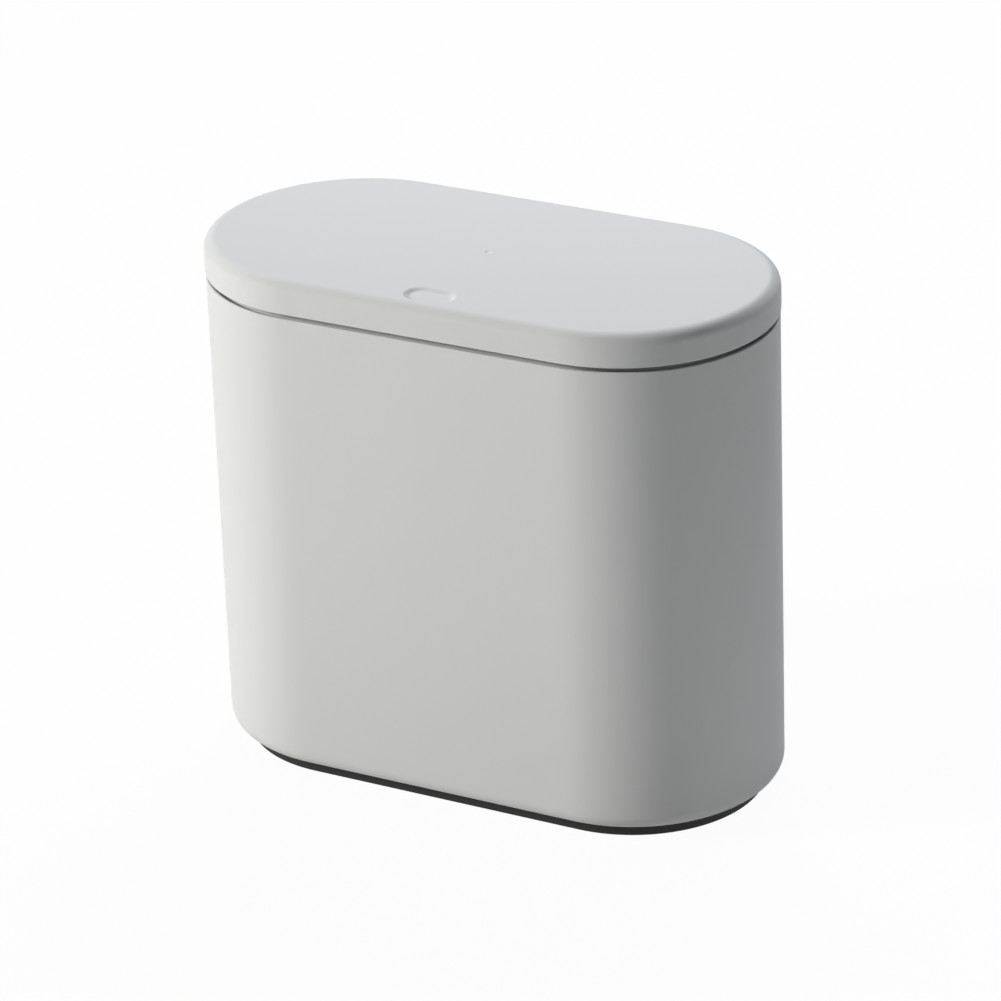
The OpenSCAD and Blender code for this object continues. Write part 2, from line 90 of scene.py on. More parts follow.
# Stage and finish values that no user changes
WHITE = (1.0, 1.0, 1.0, 1.0)
DUST_COLOUR = (0.60, 0.58, 0.54, 1.0)
LIGHT_AIM = Vector((0.0, 0.0, 0.1))
FLOOR_RADIUS = 6.0
EVEN_LINES = (2500.0, 2500.0, 2500.0)
LINES_ALONG_X = (60.0, 4000.0, 4000.0)


# Sizes and colours that a user may change


def length(name, text, value):
    """A length in metres."""
    return FloatProperty(
        name=name, description=text, default=value, min=0.0, precision=5, unit="LENGTH"
    )


def amount(name, text, value, high=10.0):
    """A plain number."""
    return FloatProperty(name=name, description=text, default=value, min=0.0, max=high, precision=3)


def angle(name, text, degrees):
    """An angle, given in degrees."""
    return FloatProperty(
        name=name, description=text, default=math.radians(degrees), subtype="ANGLE"
    )


def colour(name, text, value):
    """A linear colour."""
    return FloatVectorProperty(
        name=name, description=text, default=value, size=3, min=0.0, max=1.0, subtype="COLOR"
    )


def watts(name, text, value):
    """The power of a light."""
    return FloatProperty(name=name, description=text, default=value, min=0.0, unit="POWER")


class BinLid(bpy.types.PropertyGroup):
    """Sizes of the lid's shell."""

    edge_round: length("Top edge", "Radius of the lid's round top edge", 4.5 * MM)
    wall: length("Wall", "Thickness of the lid's wall", 2.0 * MM)
    top: length("Top", "Thickness of the lid's top", 2.2 * MM)
    mark_length: length("Mark length", "Length of the press mark", 20.0 * MM)
    mark_width: length("Mark width", "Width of the press mark", 12.0 * MM)
    mark_depth: length("Mark depth", "Depth of the press mark", 1.0 * MM)
    mark_setback: length("Mark setback", "Middle of the mark behind the front edge", 11.0 * MM)
    mark_slope: length("Mark slope", "Width of the mark's sloping wall", 2.2 * MM)
    gate_radius: length("Gate radius", "Radius of the moulding mark", 1.3 * MM)
    gate_depth: length("Gate depth", "Depth of the moulding mark", 0.3 * MM)
    gate_slope: length("Gate slope", "Width of the moulding mark's wall", 0.7 * MM)
    hinge_room: length("Hinge room", "Radius cut out round the fixed barrel", 4.1 * MM)
    rear_cut: length("Rear cut", "How far the cut skirt lies in front of the axis", 4.5 * MM)


class BinBody(bpy.types.PropertyGroup):
    """Sizes of the outer body's shell."""

    foot_round: length("Foot", "Radius of the round lower edge", 6.0 * MM)
    wall: length("Wall", "Thickness of the body's wall", 2.0 * MM)
    floor: length("Floor", "Thickness of the body's floor", 2.4 * MM)
    rebate_depth: length("Rebate depth", "Depth of the seat for the frame", 1.0 * MM)
    rebate_height: length("Rebate height", "Height of the seat for the frame", 4.6 * MM)
    boss_height: length("Boss height", "Height of the bosses above the underside", 7.0 * MM)
    boss_radius: length("Boss radius", "Radius of the screw bosses", 4.0 * MM)
    boss_roof: length("Boss roof", "Solid end of a screw boss", 1.2 * MM)
    screw_hole: length("Screw hole", "Radius of the hole in a boss", 1.55 * MM)
    boss_spread: length("Boss spread", "Distance between bosses along the length", 96.0 * MM)
    boss_gauge: length("Boss gauge", "Distance between bosses from front to back", 40.0 * MM)


class BinBucket(bpy.types.PropertyGroup):
    """Sizes of the lift-out bucket and its bag ring."""

    wall: length("Wall", "Thickness of the bucket's wall", 1.6 * MM)
    floor: length("Floor", "Thickness of the bucket's floor", 1.8 * MM)
    foot_round: length("Foot", "Radius of the bucket's lower edge", 7.0 * MM)
    ring_flange: length("Flange", "Thickness of the bag ring's flange", 1.5 * MM)
    ring_skirt: length("Skirt", "Thickness of the bag ring's skirt", 0.9 * MM)
    ring_lip: length("Lip", "How far the ring reaches in over the mouth", 0.8 * MM)


class BinSprings(bpy.types.PropertyGroup):
    """Sizes of the wound springs."""

    torsion_coil: length("Torsion coil", "Radius of the torsion springs' coil", 2.5 * MM)
    torsion_wire: length("Torsion wire", "Radius of the torsion springs' wire", 0.4 * MM)
    torsion_turns: IntProperty(
        name="Torsion turns", description="Whole turns before the last half", default=5, min=1
    )
    torsion_leg: length("Torsion leg", "Reach of a leg in front of the axis", 4.2 * MM)
    latch_coil: length("Latch coil", "Radius of the latch spring's coil", 2.3 * MM)
    latch_wire: length("Latch wire", "Radius of the latch spring's wire", 0.3 * MM)
    latch_turns: IntProperty(
        name="Latch turns", description="Whole turns before the last half", default=4, min=1
    )


class BinColours(bpy.types.PropertyGroup):
    """Colours of the finishes."""

    lid: colour("Lid", "Light grey plastic of the lid", (0.660, 0.662, 0.652))
    body: colour("Body", "Light grey plastic of the body", (0.660, 0.662, 0.652))
    liner: colour("Liner", "Panel inside the lid", (0.52, 0.53, 0.54))
    base: colour("Base", "Black base", (0.004, 0.004, 0.0045))
    bucket: colour("Bucket", "Lift-out bucket", (0.64, 0.65, 0.65))
    ring: colour("Ring", "Bag ring", (0.32, 0.33, 0.33))
    top_frame: colour("Frame", "Top frame", (0.56, 0.57, 0.57))
    latch: colour("Latch", "Latch housing", (0.045, 0.048, 0.05))
    plunger: colour("Plunger", "Latch plunger", (0.75, 0.75, 0.73))
    rubber: colour("Rubber", "Pads and bumpers", (0.03, 0.03, 0.03))
    screw: colour("Screws", "Zinc plated screws", (0.55, 0.56, 0.58))
    rod: colour("Rod", "Ground rod and pin", (0.58, 0.59, 0.61))
    plate: colour("Plate", "Striker plate", (0.50, 0.52, 0.54))
    magnet: colour("Magnet", "Nickel plated magnet", (0.33, 0.34, 0.36))
    spring: colour("Springs", "Drawn spring wire", (0.42, 0.44, 0.46))


class BinStage(bpy.types.PropertyGroup):
    """Camera, lights and floor."""

    azimuth: angle("Azimuth", "Direction of the camera round the bin", 28.611)
    elevation: angle("Elevation", "Height of the camera above the horizon", 24.807)
    roll: angle("Roll", "Turn of the camera about its own axis", -2.0)
    distance: length("Distance", "From the camera to the aim point", 1.8244)
    aim_height: length("Aim height", "Height of the aim point", 0.099)
    aim_right: length("Aim right", "Sideways move of the camera", 1.24 * MM)
    aim_up: length("Aim up", "Upward move of the camera", 2.52 * MM)
    lens: FloatProperty(name="Lens", description="Focal length in mm", default=178.84, min=10.0)
    key_power: watts("Key", "Main light, from the left front", 57.0)
    rear_power: watts("Rear", "High light from behind", 11.9)
    front_power: watts("Front", "Faint low light from the front", 1.2)
    side_power: watts("Side", "Low light from the right side", 2.3)
    ambient: amount("Ambient", "Level of the light from all round", 0.045)
    ambient_colour: colour("Ambient colour", "Tint of that light", (0.93, 0.98, 1.0))
    floor_colour: colour("Floor colour", "Pale floor", (0.80, 0.80, 0.80))
    floor_white: amount("Floor white", "How white the floor looks to the camera", 0.96, 1.0)


# Mesh tools


def smoothstep(low, high, value):
    """From 0 at low to 1 at high, with soft ends."""
    t = min(max((value - low) / (high - low), 0.0), 1.0)
    return t * t * (3.0 - 2.0 * t)


def spaced(start, end, step):
    """Even stations from start to end, both included, at most one step apart."""
    count = max(1, math.ceil(abs(end - start) / step - TINY))
    return [start + (end - start) * i / count for i in range(count + 1)]


def joined(*runs):
    """Runs of stations one after the other, with shared ends written once."""
    out = []
    for run in runs:
        out.extend(run if not out else run[1:])
    return out


def fillets(corners, closed=False, support=0.4 * MM):
    """A half section through corners (r, z, fillet), with arcs and a support point on each side."""
    count = len(corners)
    out = []
    for i, (r, z, fillet) in enumerate(corners):
        here = Vector((r, z))
        if fillet <= 0.0 or (not closed and i in (0, count - 1)):
            out.append((r, z))
            continue
        before = Vector(corners[i - 1][:2]) - here
        after = Vector(corners[(i + 1) % count][:2]) - here
        u, v = before.normalized(), after.normalized()
        half = math.acos(max(-1.0, min(1.0, u.dot(v)))) / 2.0
        reach = fillet / math.tan(half)
        centre = here + (u + v).normalized() * (fillet / math.sin(half))
        first, last = here + u * reach, here + v * reach
        if before.length > 2.0 * (reach + support):
            out.append(tuple(first + u * support))
        sweep = math.pi - 2.0 * half
        steps = max(4, math.ceil(sweep * fillet / ARC_STEP))
        a, b = first - centre, last - centre
        for k in range(steps + 1):
            t = k / steps
            w0 = math.sin((1.0 - t) * sweep) / math.sin(sweep)
            w1 = math.sin(t * sweep) / math.sin(sweep)
            out.append(tuple(centre + a * w0 + b * w1))
        if after.length > 2.0 * (reach + support):
            out.append(tuple(last + v * support))
    return out


def oval_columns(run, stations, end_steps=72):
    """Columns round the oval plan: the middle's x and the outward direction."""
    ends = [math.pi * k / end_steps - math.pi / 2.0 for k in range(1, end_steps)]
    columns = [(x, 0.0, -1.0) for x in stations]
    columns += [(run, math.cos(a), math.sin(a)) for a in ends]
    columns += [(x, 0.0, 1.0) for x in reversed(stations)]
    columns += [(-run, -math.cos(a), -math.sin(a)) for a in ends]
    return columns


def put(name, data):
    """A new object with this data, in the scene."""
    made = bpy.data.objects.new(name, data)
    bpy.context.scene.collection.objects.link(made)
    return made


def mesh_from(name, bm):
    """A mesh from a bmesh, which is freed."""
    mesh = bpy.data.meshes.new(name)
    bm.to_mesh(mesh)
    bm.free()
    return mesh


def shade(mesh):
    """Smooth faces, and sharp edges where they meet at more than the sharp angle."""
    mesh.shade_smooth()
    mesh.set_sharp_from_angle(angle=SHARP_ANGLE)


def clean(bm):
    """Merges vertices that meet, drops faces without area and turns the normals outward."""
    bmesh.ops.remove_doubles(bm, verts=bm.verts, dist=TINY)
    bmesh.ops.dissolve_degenerate(bm, edges=bm.edges, dist=TINY / 10.0)
    bmesh.ops.recalc_face_normals(bm, faces=bm.faces)


def make_object(name, bm, material):
    """A new shaded object from a bmesh."""
    mesh = mesh_from(name, bm)
    mesh.materials.append(material)
    shade(mesh)
    return put(name, mesh)


def sweep_oval(columns, profile, closed=False):
    """Carries a half section (r, z) round the oval's columns."""
    bm = bmesh.new()
    rings = []
    for cx, nx, ny in columns:
        rings.append([bm.verts.new((cx + r * nx, r * ny, z)) for r, z in profile])
    last = len(profile) if closed else len(profile) - 1
    for i, ring in enumerate(rings):
        following = rings[(i + 1) % len(rings)]
        for k in range(last):
            n = (k + 1) % len(profile)
            bm.faces.new((ring[k], following[k], following[n], ring[n]))
    clean(bm)
    return bm


def turned(bm, spot, profile):
    """Adds a closed round solid about a vertical axis at spot, from a half section (r, z)."""
    rings = []
    for k in range(TURN_STEPS):
        a = 2.0 * math.pi * k / TURN_STEPS
        along, across = math.cos(a), math.sin(a)
        rings.append([bm.verts.new((spot[0] + r * along, spot[1] + r * across, z)) for r, z in profile])
    for i, ring in enumerate(rings):
        following = rings[(i + 1) % TURN_STEPS]
        for k in range(len(profile) - 1):
            bm.faces.new((ring[k], following[k], following[k + 1], ring[k + 1]))
    clean(bm)


def prism_x(bm, outline, x0, x1):
    """Adds a closed prism along X from an outline in y and z."""
    near = [bm.verts.new((x0, y, z)) for y, z in outline]
    far = [bm.verts.new((x1, y, z)) for y, z in outline]
    bm.faces.new(near)
    bm.faces.new(list(reversed(far)))
    for i in range(len(outline)):
        n = (i + 1) % len(outline)
        bm.faces.new((near[i], far[i], far[n], near[n]))
    bmesh.ops.recalc_face_normals(bm, faces=bm.faces)


def carve(target, cutter_bm, operation):
    """Unites a solid with the target's mesh, or takes it away, and keeps only the result."""
    mesh = mesh_from("cutter", cutter_bm)
    cutter = put("cutter", mesh)
    change = target.modifiers.new("change", "BOOLEAN")
    change.operation = operation
    change.solver = "EXACT"
    change.object = cutter
    graph = bpy.context.evaluated_depsgraph_get()
    result = bpy.data.meshes.new_from_object(target.evaluated_get(graph), depsgraph=graph)
    target.modifiers.clear()
    old = target.data
    target.data = result
    result.name = target.name
    bpy.data.meshes.remove(old)
    bpy.data.objects.remove(cutter)
    bpy.data.meshes.remove(mesh)
    if not len(result.polygons):
        raise RuntimeError(f"{target.name} has no faces left")
    shade(result)


def coil_points(radius, turns, height, leg, steps=28, leg_steps=6):
    """Points of a coil about Z, of whole turns and a half, with legs toward -X if asked for."""
    total = int((turns + 0.5) * steps)
    points = []
    if leg > 0.0:
        points += [Vector((-leg + leg * k / leg_steps, -radius, 0.0)) for k in range(leg_steps)]
    for i in range(total + 1):
        a = 2.0 * math.pi * i / steps
        points.append(Vector((radius * math.sin(a), -radius * math.cos(a), height * i / total)))
    if leg > 0.0:
        points += [Vector((-leg * k / leg_steps, radius, height)) for k in range(1, leg_steps + 1)]
    return points


def wire_tube(points, radius, sides=12):
    """A round tube on points with domed ends."""
    bm = bmesh.new()
    rings = []
    stations = []
    for i, point in enumerate(points):
        along = (points[min(i + 1, len(points) - 1)] - points[max(i - 1, 0)]).normalized()
        stations.append((point, along, radius))
    # Each dome ring's height above the flat end and its radius, as shares of the wire's radius
    dome = [(0.75, 0.66), (0.35, 0.94)]
    first, last = stations[0], stations[-1]
    start = [(first[0] + first[1] * radius * (1 - a), first[1], radius * b) for a, b in dome]
    end = [(last[0] - last[1] * radius * (1 - a), last[1], radius * b) for a, b in reversed(dome)]
    stations = start + stations[1:-1] + end
    for point, along, size in stations:
        out = along.cross(Vector((0.0, 0.0, 1.0))).normalized()
        up = out.cross(along)
        ring = []
        for k in range(sides):
            a = 2.0 * math.pi * k / sides
            ring.append(bm.verts.new(point + size * (math.cos(a) * out + math.sin(a) * up)))
        rings.append(ring)
    for ring, following in zip(rings, rings[1:]):
        for k in range(sides):
            n = (k + 1) % sides
            bm.faces.new((ring[k], ring[n], following[n], following[k]))
    bm.faces.new(list(reversed(rings[0])))
    bm.faces.new(rings[-1])
    bmesh.ops.recalc_face_normals(bm, faces=bm.faces)
    return bm


# Node tools


def socket(group, name, kind, direction, value=None):
    """Makes one named socket of a node group."""
    made = group.interface.new_socket(name, in_out=direction, socket_type=kind)
    if value is not None:
        made.default_value = value
    return made


def add(tree, kind, inputs=None, **settings):
    """Adds a node with its settings, and sets or links its inputs."""
    node = tree.nodes.new(kind)
    node.location = (220.0 * (len(tree.nodes) % 9), -260.0 * (len(tree.nodes) // 9))
    for key, value in settings.items():
        setattr(node, key, value)
    for key, value in (inputs or {}).items():
        if isinstance(value, bpy.types.NodeSocket):
            tree.links.new(value, node.inputs[key])
        else:
            node.inputs[key].default_value = value
    return node


def maths(tree, operation, a, b=0.0, clamp=False):
    """A maths node's output."""
    node = add(tree, "ShaderNodeMath", {0: a, 1: b}, operation=operation, use_clamp=clamp)
    return node.outputs[0]


def spread(tree, value, low, high, to_low=0.0, to_high=1.0):
    """A value mapped from one range to another, with soft ends."""
    node = add(
        tree,
        "ShaderNodeMapRange",
        {"Value": value, "From Min": low, "From Max": high, "To Min": to_low, "To Max": to_high},
        interpolation_type="SMOOTHSTEP",
    )
    return node.outputs["Result"]


def noise(tree, vector, scale, detail=2.0, rough=0.5):
    """A noise pattern's value."""
    inputs = {"Vector": vector, "Scale": scale, "Detail": detail, "Roughness": rough}
    return add(tree, "ShaderNodeTexNoise", inputs).outputs["Fac"]


def blend_colours(tree, factor, first, second):
    """A colour between two others."""
    node = add(tree, "ShaderNodeMix", data_type="RGBA", blend_type="MIX")
    for name, value in (("Factor_Float", factor), ("A_Color", first), ("B_Color", second)):
        target = next(s for s in node.inputs if s.identifier == name)
        if isinstance(value, bpy.types.NodeSocket):
            tree.links.new(value, target)
        else:
            target.default_value = value
    return next(s for s in node.outputs if s.identifier == "Result_Color")


def new_group(name, inputs, outputs):
    """An empty node group with named sockets, and the ends that its nodes link to."""
    group = bpy.data.node_groups.new(name, "ShaderNodeTree")
    for label, kind, value in inputs:
        socket(group, label, kind, "INPUT", value)
    for label, kind in outputs:
        socket(group, label, kind, "OUTPUT")
    given = group.nodes.new("NodeGroupInput").outputs
    return group, given, group.nodes.new("NodeGroupOutput").inputs


def moulded_surface():
    """Spark eroded grain, slow ripple and uneven tone of a moulded plastic."""
    group, given, out = new_group(
        "Moulded surface",
        [
            ("Vector", "NodeSocketVector", None),
            ("Grain Scale", "NodeSocketFloat", 1500.0),
            ("Ripple", "NodeSocketFloat", 0.4),
        ],
        [("Height", "NodeSocketFloat"), ("Tone", "NodeSocketFloat"), ("Rub", "NodeSocketFloat")],
    )
    place = given["Vector"]
    fine = noise(group, place, given["Grain Scale"], detail=3.0, rough=0.6)
    soft_scale = maths(group, "MULTIPLY", given["Grain Scale"], 0.12)
    soft = noise(group, place, soft_scale, detail=2.0)
    ripple = noise(group, place, 26.0, detail=1.0)
    pits = spread(group, fine, 0.34, 0.66)
    soft_part = maths(group, "MULTIPLY", soft, 0.35)
    pit_part = maths(group, "MULTIPLY", pits, 0.65)
    height = maths(group, "ADD", soft_part, pit_part)
    height = maths(group, "ADD", height, maths(group, "MULTIPLY", ripple, given["Ripple"]))
    group.links.new(height, out["Height"])
    tone = noise(group, place, 14.0, detail=4.0, rough=0.55)
    group.links.new(spread(group, tone, 0.3, 0.7), out["Tone"])
    upright = {"Vector": place, "Scale": (60.0, 60.0, 9.0)}
    stretch = add(group, "ShaderNodeMapping", upright)
    rub = noise(group, stretch.outputs["Vector"], 1.0, detail=5.0, rough=0.62)
    group.links.new(spread(group, rub, 0.52, 0.72), out["Rub"])
    return group


def settled_dust():
    """Fine dust on faces that look up, thicker where the pattern is dense."""
    group, given, out = new_group(
        "Settled dust",
        [("Vector", "NodeSocketVector", None), ("Amount", "NodeSocketFloat", 0.1)],
        [("Dust", "NodeSocketFloat")],
    )
    place = given["Vector"]
    geometry = add(group, "ShaderNodeNewGeometry")
    normal = add(group, "ShaderNodeSeparateXYZ", {0: geometry.outputs["Normal"]})
    facing = spread(group, normal.outputs["Z"], 0.55, 1.0)
    cloud = spread(group, noise(group, place, 34.0, detail=4.0, rough=0.6), 0.35, 0.75)
    specks = spread(group, noise(group, place, 900.0, detail=1.0), 0.66, 0.76)
    cloud_part = maths(group, "MULTIPLY", cloud, 0.6)
    speck_part = maths(group, "MULTIPLY", specks, 0.8)
    pattern = maths(group, "ADD", cloud_part, speck_part)
    settled = maths(group, "MULTIPLY", pattern, facing)
    dust = maths(group, "MULTIPLY", settled, given["Amount"], clamp=True)
    group.links.new(dust, out["Dust"])
    return group


def drawn_metal():
    """Fine lines along one direction, with a slow change of tone."""
    group, given, out = new_group(
        "Drawn metal",
        [
            ("Vector", "NodeSocketVector", None),
            ("Stretch", "NodeSocketVector", LINES_ALONG_X),
        ],
        [
            ("Height", "NodeSocketFloat"),
            ("Lines", "NodeSocketFloat"),
            ("Tarnish", "NodeSocketFloat"),
        ],
    )
    inputs = {0: given["Vector"], 1: given["Stretch"]}
    along = add(group, "ShaderNodeVectorMath", inputs, operation="MULTIPLY")
    lines = noise(group, along.outputs[0], 1.0, detail=3.0, rough=0.6)
    group.links.new(lines, out["Height"])
    group.links.new(spread(group, lines, 0.3, 0.7), out["Lines"])
    stain = noise(group, given["Vector"], 260.0, detail=4.0, rough=0.6)
    group.links.new(spread(group, stain, 0.45, 0.75), out["Tarnish"])
    return group


def effect(tree, name, inputs):
    """Places one of the shared effects in a material."""
    makers = {
        "Moulded surface": moulded_surface,
        "Settled dust": settled_dust,
        "Drawn metal": drawn_metal,
    }
    group = bpy.data.node_groups.get(name) or makers[name]()
    return add(tree, "ShaderNodeGroup", inputs, node_tree=group).outputs


def empty_tree(holder):
    """The node tree of a material or world, without its first nodes."""
    holder.use_nodes = True
    holder.node_tree.nodes.clear()
    return holder.node_tree


def start_material(name):
    """A material with its shader alone, and the place of each point on the object."""
    material = bpy.data.materials.new(name)
    tree = empty_tree(material)
    shader = add(tree, "ShaderNodeBsdfPrincipled")
    output = add(tree, "ShaderNodeOutputMaterial")
    tree.links.new(shader.outputs["BSDF"], output.inputs["Surface"])
    place = add(tree, "ShaderNodeTexCoord").outputs["Object"]
    return material, tree, shader, place


def rgba(tint, factor=1.0):
    """A four part colour, made lighter or darker."""
    return (tint[0] * factor, tint[1] * factor, tint[2] * factor, 1.0)


def plastic(name, tint, rough, grain, bump, tone=0.02, dust=0.0, ripple=0.3, specular=0.5):
    """A moulded plastic: grain, uneven tone, hand rubs and settled dust."""
    material, tree, shader, place = start_material(name)
    inputs = {"Vector": place, "Grain Scale": grain, "Ripple": ripple}
    surface = effect(tree, "Moulded surface", inputs)
    base = blend_colours(tree, surface["Tone"], rgba(tint, 1.0 - tone), rgba(tint, 1.0 + tone))
    roughness = spread(tree, surface["Rub"], 0.0, 1.0, rough, rough * 0.86)
    if dust > 0.0:
        layer = effect(tree, "Settled dust", {"Vector": place, "Amount": dust})
        base = blend_colours(tree, layer["Dust"], base, DUST_COLOUR)
        roughness = maths(tree, "ADD", roughness, maths(tree, "MULTIPLY", layer["Dust"], 0.4))
    tree.links.new(base, shader.inputs["Base Color"])
    tree.links.new(roughness, shader.inputs["Roughness"])
    shader.inputs["Specular IOR Level"].default_value = specular
    inputs = {"Strength": bump, "Distance": 0.05 * MM, "Height": surface["Height"]}
    relief = add(tree, "ShaderNodeBump", inputs)
    tree.links.new(relief.outputs["Normal"], shader.inputs["Normal"])
    return material


def metal(name, tint, rough, stretch, bump, tarnish):
    """A bare or plated metal: drawn lines and faint tarnish."""
    material, tree, shader, place = start_material(name)
    surface = effect(tree, "Drawn metal", {"Vector": place, "Stretch": stretch})
    base = blend_colours(tree, surface["Lines"], rgba(tint, 0.92), rgba(tint, 1.06))
    stain = maths(tree, "MULTIPLY", surface["Tarnish"], tarnish)
    base = blend_colours(tree, stain, base, rgba(tint, 0.6))
    tree.links.new(base, shader.inputs["Base Color"])
    roughness = spread(tree, surface["Lines"], 0.0, 1.0, rough, rough * 1.35)
    tree.links.new(roughness, shader.inputs["Roughness"])
    shader.inputs["Metallic"].default_value = 1.0
    inputs = {"Strength": bump, "Distance": 0.01 * MM, "Height": surface["Height"]}
    relief = add(tree, "ShaderNodeBump", inputs)
    tree.links.new(relief.outputs["Normal"], shader.inputs["Normal"])
    return material


# Each finish: the name of its colour, and its values
PLASTICS = {
    "lid_plastic": (
        "lid",
        {"rough": 0.42, "grain": 1500.0, "bump": 0.10, "tone": 0.008, "ripple": 0.03, "specular": 0.3},
    ),
    "body_plastic": (
        "body",
        {"rough": 0.45, "grain": 1500.0, "bump": 0.10, "tone": 0.008, "ripple": 0.02, "specular": 0.3},
    ),
    "base_plastic": (
        "base",
        {"rough": 0.55, "grain": 1800.0, "bump": 0.20, "tone": 0.2, "specular": 0.12},
    ),
    "rubber": (
        "rubber",
        {
            "rough": 0.82,
            "grain": 2600.0,
            "bump": 0.50,
            "tone": 0.15,
            "dust": 0.05,
            "ripple": 0.2,
            "specular": 0.3,
        },
    ),
    "liner_plastic": ("liner", {"rough": 0.62, "grain": 2200.0, "bump": 0.30}),
    "bucket_plastic": ("bucket", {"rough": 0.50, "grain": 1700.0, "bump": 0.15, "dust": 0.05}),
    "ring_plastic": (
        "ring",
        {"rough": 0.48, "grain": 1700.0, "bump": 0.20, "tone": 0.03, "dust": 0.05},
    ),
    "frame_plastic": (
        "top_frame",
        {"rough": 0.50, "grain": 1700.0, "bump": 0.22, "tone": 0.03, "dust": 0.06},
    ),
    "latch_plastic": (
        "latch",
        {"rough": 0.52, "grain": 1900.0, "bump": 0.25, "tone": 0.06, "dust": 0.03},
    ),
    "plunger_plastic": ("plunger", {"rough": 0.32, "grain": 2400.0, "bump": 0.12}),
}
METALS = {
    "screw_steel": ("screw", {"rough": 0.34, "stretch": EVEN_LINES, "bump": 0.2, "tarnish": 0.35}),
    "rod_steel": ("rod", {"rough": 0.24, "stretch": LINES_ALONG_X, "bump": 0.2, "tarnish": 0.15}),
    "plate_steel": ("plate", {"rough": 0.30, "stretch": LINES_ALONG_X, "bump": 0.3, "tarnish": 0.25}),
    "magnet_metal": ("magnet", {"rough": 0.28, "stretch": EVEN_LINES, "bump": 0.2, "tarnish": 0.2}),
    "spring_steel": ("spring", {"rough": 0.30, "stretch": EVEN_LINES, "bump": 0.3, "tarnish": 0.2}),
}


def finish_for(name):
    """The material of a slot, made when it is first asked for."""
    if name in bpy.data.materials:
        return bpy.data.materials[name]
    make, finishes = (plastic, PLASTICS) if name in PLASTICS else (metal, METALS)
    tint_name, values = finishes[name]
    return make(name, getattr(bpy.context.scene.bin_colours, tint_name), **values)


def settle(piece, body, slot_name, *nodes):
    """Puts a piece on its body and hides the nodes that it stands for; the slot name is not used."""
    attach(piece, body)
    if nodes:
        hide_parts(*nodes)


# Operators


class BIN_OT_lid_shell(bpy.types.Operator):
    """Makes the lid's shell with its round edge, press mark and moulding mark."""

    bl_idname = "bin.lid_shell"
    bl_label = "Lid Shell"

    def execute(self, context):
        size = context.scene.bin_lid
        radius = (LID_HIGH.y - LID_LOW.y) / 2.0
        run = LID_HIGH.x - radius
        low, high = LID_LOW.z, LID_HIGH.z
        inner = radius - size.wall
        flat = radius - size.edge_round
        mark_y = radius - size.mark_setback
        gate_zone = 2.6 * MM
        near = mark_y - size.mark_width / 2.0 - 0.8 * MM
        rings = joined(
            spaced(0.0, gate_zone, 0.2 * MM),
            spaced(gate_zone, near, LID_STEP),
            spaced(near, flat, FINE_STEP),
        )
        corners = [
            (0.0, high, 0.0),
            (radius, high, size.edge_round),
            (radius, low, RIM_ROUND),
            (inner, low, INNER_ROUND),
            (inner, high - size.top, size.edge_round - size.wall),
            (0.0, high - size.top, 0.0),
        ]
        profile = [(r, high) for r in rings[:-1]]
        profile += [p for p in fillets(corners)[1:] if p[0] >= flat - TINY or p[1] < high - TINY]
        reach = size.mark_length / 2.0 + 1.0 * MM
        stations = joined(
            spaced(-run, -reach, LID_STEP),
            spaced(-reach, reach, FINE_STEP),
            spaced(reach, run, LID_STEP),
        )
        bm = sweep_oval(oval_columns(run, stations), profile)
        half = (size.mark_length - size.mark_width) / 2.0
        for vert in bm.verts:
            if vert.co.z < high - TINY:
                continue
            x, y = vert.co.x, vert.co.y
            off = math.hypot(x - max(-half, min(half, x)), y + mark_y) - size.mark_width / 2.0
            sunk = size.mark_depth * smoothstep(MARK_EASE, -size.mark_slope, off)
            off = math.hypot(x, y) - size.gate_radius
            sunk += size.gate_depth * smoothstep(MARK_EASE, -size.gate_slope, off)
            vert.co.z -= sunk
        lid = make_object("lid_shell", bm, finish_for("lid_plastic"))
        room = size.hinge_room
        front, back = AXIS_Y - size.rear_cut, radius + 9.0 * MM
        under = low - 5.0 * MM
        outline = [(front, under), (back, under), (back, AXIS_Z), (AXIS_Y + room, AXIS_Z)]
        for k in range(1, TURN_STEPS):
            turn = math.pi * k / TURN_STEPS
            outline.append((AXIS_Y + room * math.cos(turn), AXIS_Z + room * math.sin(turn)))
        outline += [(AXIS_Y - room, AXIS_Z), (front, AXIS_Z)]
        cutter = bmesh.new()
        prism_x(cutter, outline, -2.0 * run, 2.0 * run)
        carve(lid, cutter, "DIFFERENCE")
        settle(lid, "lid", "lid_plastic", "lid_cover")
        return {"FINISHED"}


